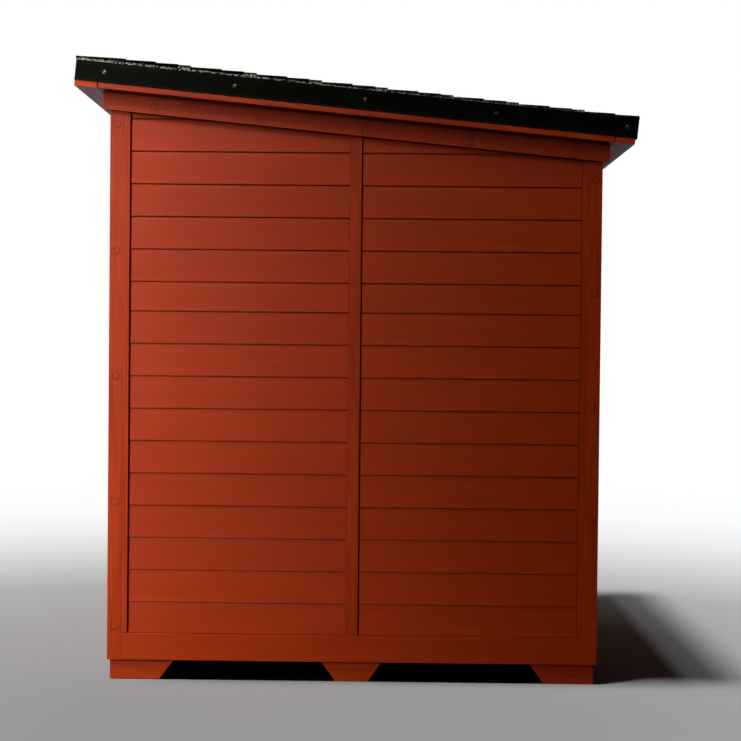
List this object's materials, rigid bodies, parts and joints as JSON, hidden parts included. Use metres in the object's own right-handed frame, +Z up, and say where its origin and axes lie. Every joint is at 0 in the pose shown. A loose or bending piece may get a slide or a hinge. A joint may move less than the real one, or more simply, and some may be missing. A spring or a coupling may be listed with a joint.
{
  "type": "outdoor infrared sauna cabin",
  "caption": "Lean-to sauna cabin of painted lap-sided panels on notched runners, with a shingled roof of one slope and black drip edges.",
  "frame": {"origin": "on the ground under the middle of the plan over the corner boards, at the middle runner's middle foot", "axes": "+Z up, -Y towards the high front with the door, +X towards the right side wall as seen facing the front"},
  "size_m": [1.933, 1.9486, 2.1737],
  "materials": {
    "red_paint": "semi-gloss terracotta red paint over lightly grained wood",
    "runner_paint": "the same red paint, a little duller near the ground",
    "bare_wood": "clear unpainted softwood",
    "handle_wood": "smooth oiled wood",
    "black_metal": "satin black coated sheet metal",
    "asphalt_shingle": "mineral granules on asphalt, charcoal with light flecks"
  },
  "bodies": {
    "root": {"base_runner_left": "runner_paint", "base_runner_middle": "runner_paint", "base_runner_right": "runner_paint", "floor_panel": "bare_wood", "right_wall_frame": "bare_wood", "right_siding": "red_paint", "right_stiles": "red_paint", "right_bottom_rail": "red_paint", "right_corner_boards": "red_paint", "right_frieze": "red_paint", "left_wall_frame": "bare_wood", "left_siding": "red_paint", "left_stiles": "red_paint", "left_bottom_rail": "red_paint", "left_corner_boards": "red_paint", "left_frieze": "red_paint", "back_wall_frame": "bare_wood", "back_siding": "red_paint", "back_stiles": "red_paint", "back_bottom_rail": "red_paint", "back_corner_boards": "red_paint", "back_frieze": "red_paint", "front_wall_left": "bare_wood", "front_wall_right": "bare_wood", "front_wall_over_door": "bare_wood", "front_siding": "red_paint", "front_stiles": "red_paint", "front_bottom_rail": "red_paint", "front_corner_boards": "red_paint", "front_frieze": "red_paint", "door_frame": "red_paint", "door_leaf": "red_paint", "door_hinges": "black_metal", "door_handle": "handle_wood", "door_threshold": "red_paint", "roof_panel": "bare_wood", "front_eave_board": "red_paint", "back_eave_board": "red_paint", "left_rake_board": "red_paint", "right_rake_board": "red_paint", "front_drip_edge": "black_metal", "back_drip_edge": "black_metal", "left_drip_edge": "black_metal", "right_drip_edge": "black_metal", "roof_shingles": "asphalt_shingle"}
  },
  "joints": []
}
